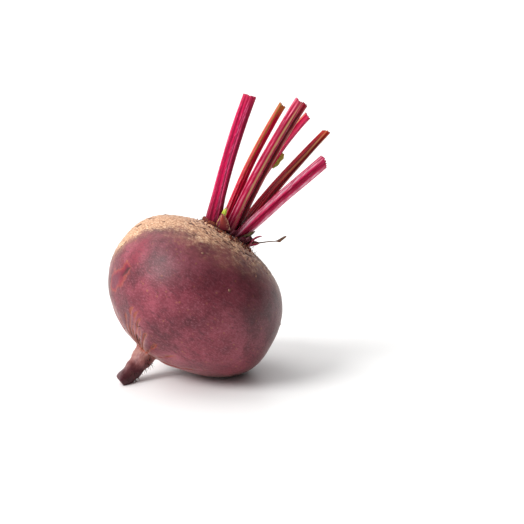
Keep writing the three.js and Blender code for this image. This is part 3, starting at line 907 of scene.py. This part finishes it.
def small_growth(name, stops, edge, roughness):
    """Young shoots, dried scales and scraps: colours from the foot to the tip, and another on the
    ribs and the torn edges, all a little blotched."""
    material, tree, shader = new_finish(name, IOR=1.42, Roughness=roughness, Specular_IOR_Level=0.3)
    along = node(tree, "Attribute", out="Fac", attribute_name="along")
    rib = node(tree, "Attribute", out="Fac", attribute_name="rib")
    grown = node(tree, "Attribute", out="Vector", attribute_name="grown")
    # Blotches 0.8 mm across.
    blotch = node(tree, "TexNoise", {"Vector": grown, "Scale": 1 / 0.8, "Detail": 4})
    place = node(tree, "MapRange", {"Value": blotch, "To Min": -0.2, "To Max": 0.2})
    place = node(tree, "Math", {0: along, 1: place}, operation="ADD")
    colour = node(tree, "ValToRGB", {0: place}, stops=stops)
    edged = node(tree, "Math", {0: rib, 1: blotch}, operation="MULTIPLY")
    edged = node(tree, "ValToRGB", {0: edged}, stops=[(0.34, 0.0), (0.56, 0.9)])
    colour = node(tree, "Mix", {0: edged, 6: colour, 7: edge}, out=2, data_type="RGBA")
    bump = node(tree, "Bump", {"Strength": 0.5, "Distance": 0.15 * MM, "Height": blotch})
    tree.links.new(colour, shader.inputs["Base Color"])
    tree.links.new(bump, shader.inputs["Normal"])
    return material


STALK_SKINS = {
    "stalk_1": stalk_skin("crimson_stalk", "700028", "b80844", "e8709c", "a83048", 0.0, "b82448"),
    "stalk_2": stalk_skin("russet_stalk", "80061e", "cc123c", "ee7c84", "b88838", 0.4, "a86c28"),
    "stalk_3": stalk_skin("pink_stalk", "800028", "c80a48", "f8a4bc", "c49c70", 0.05, "c84860"),
    "stalk_4": stalk_skin("dark_stalk", "3c020c", "84081c", "e89498", "b88868", 0.3, "a81830"),
    "stalk_5": stalk_skin("crimson_back_stalk", "8c002c", "c80444", "ec6c94", "b4b038", 0.6, "cc2450"),
    "stalk_6": stalk_skin("dark_russet_stalk", "44020c", "980a22", "c83440", "a07448", 0.45, "b8341c"),
    "stalk_7": stalk_skin("pale_pink_stalk", "780022", "d00c54", "ffcade", "901838", 0.9, "b82c54"),
}
bud_finish = small_growth("green_bud_skin", [(0.6, "74243a"), (0.7, "a4b828"), (0.84, "b4cc38"),
                                             (0.92, "983048")], "c8b060", 0.4)
dark_finish = small_growth("dark_shoot_skin", [(0.1, "2c0e12"), (0.7, "4c3020")], "66702c", 0.5)
red_finish = small_growth("red_shoot_skin", [(0.1, "8c1038"), (0.7, "a82850")], "6c3838", 0.35)
dry_finish = small_growth("dried_leaf_base", [(0.1, "441418"), (0.9, "6c2e1e")], "84482c", 0.7)
fibre_finish = small_growth("dried_fibre", [(0.1, "3c2c28"), (0.7, "5c4438")], "8c5430", 0.7)
scale_finish = small_growth("dried_scale_skin", [(0.1, "641424"), (0.8, "a04438")], "d4a888", 0.6)
leaf_finish = small_growth("leaf_scrap_skin", [(0.1, "ccc45c"), (0.7, "b8c858")], "d8b070", 0.5)
stub_finish = small_growth("stub_skin", [(0.1, "24060c"), (0.7, "541224")], "3c1414", 0.5)
flake_finish = small_growth("dry_skin_flake", [(0.1, "6c4838"), (0.7, "94705c")], "4c3028", 0.75)
hair_finish = small_growth("rootlet_skin", [(0.1, "241616"), (0.7, "4c3428")], "3c2424", 0.8)

root.make("beet_root", beet_skin(), "skin", ["root_body"])
for number, row in enumerate(STALKS, 1):
    stalk_piece(row, number).make(f"leaf_stalk_{number}", STALK_SKINS[row["node"]], row["slot"],
                                  [row["node"]])
shoot_finishes = {"bud_green": bud_finish, "shoot_dark": dark_finish, "shoot_red": red_finish}
for number, row in enumerate(SHOOTS, 1):
    shoot_piece(row, number).make(row["name"], shoot_finishes[row["slot"]], row["slot"],
                                  [row["node"]])
fibre_piece(DRY_FIBRE).make("dry_fibre", fibre_finish, "dry_brown", ["dry_leaf"])
scale_piece(DRIED_SCALE, 2).make("front_scale", scale_finish, "dry_brown", ["dry_scale"])
carrier = next(row for row in STALKS if row["node"] == LEAF_RAG["on"])
rag_piece(LEAF_RAG, carrier, 1).make("leaf_rag", leaf_finish, "leaf_green", ["leaf_scrap"])
rootlets().make("rootlets", hair_finish, "dry_brown")
crown_fringe().make("crown_fringe", dry_finish, "dry_brown")
crown_stubs().make("crown_stubs", stub_finish, "stalk_dark")
skin_flakes().make("skin_flakes", flake_finish, "dry_brown")


# The studio.

def white_floor():
    mesh = bpy.data.meshes.new("floor")
    far = 4.0
    mesh.from_pydata([(-far, -far, 0), (far, -far, 0), (far, far, 0), (-far, far, 0)], [],
                     [(0, 1, 2, 3)])
    floor = bpy.data.objects.new("floor", mesh)
    bpy.context.scene.collection.objects.link(floor)
    material, _, shader = new_finish("white_table", Roughness=0.4, IOR=1.4)
    shader.inputs["Base Color"].default_value = linear("f4f4f3")
    mesh.materials.append(material)


def soft_light(name, way, power, spread):
    """A light so far off that it falls evenly on the whole floor. Its spread softens shadows."""
    lamp = bpy.data.lights.new(name, "SUN")
    lamp.energy = power
    lamp.angle = math.radians(spread)
    made = bpy.data.objects.new(name, lamp)
    made.rotation_euler = Vector(way).to_track_quat("-Z", "Y").to_euler()
    bpy.context.scene.collection.objects.link(made)


def white_room():
    """A white surround, bright behind, above and to the left, and dim in front and to the right, so
    that dark skin stays dark in the middle and the edges shine."""
    world = bpy.data.worlds.new("white_room")
    bpy.context.scene.world = world
    world.use_nodes = True
    tree = world.node_tree
    way = node(tree, "TexCoord", out="Generated")
    toward = node(tree, "VectorMath", {0: way, 1: (-0.66, 0.6, 0.45)}, out="Value",
                  operation="DOT_PRODUCT")
    dim = node(tree, "MapRange", {"Value": toward, "From Min": -0.45, "From Max": 0.5,
                                  "To Min": 0.05, "To Max": 1.0})
    seen = node(tree, "LightPath", out="Is Camera Ray")
    strength = node(tree, "Math", {0: dim, 1: seen}, operation="MAXIMUM")
    tree.links.new(strength, tree.nodes["Background"].inputs["Strength"])
    tree.nodes["Background"].inputs["Color"].default_value = (1, 1, 1, 1)


def front_camera():
    """The photograph's view: straight ahead, 13 degrees down, from 0.7 m."""
    camera = bpy.data.cameras.new("camera")
    camera.lens = 113.6
    camera.sensor_width = 36
    camera.clip_start = 0.01
    made = bpy.data.objects.new("camera", camera)
    made.location = Vector((17.15, -671.8, 202.0)) * MM
    aim = Vector((17.15, 10.3, 44.5)) * MM
    made.rotation_euler = (aim - made.location).to_track_quat("-Z", "Y").to_euler()
    bpy.context.scene.collection.objects.link(made)
    bpy.context.scene.camera = made


white_floor()
white_room()
soft_light("key", (0.68, 0.38, -0.63), 2.6, 30)
soft_light("top", (0.5, -0.35, -0.8), 0.9, 50)
front_camera()
bpy.context.scene.view_settings.view_transform = "Standard"
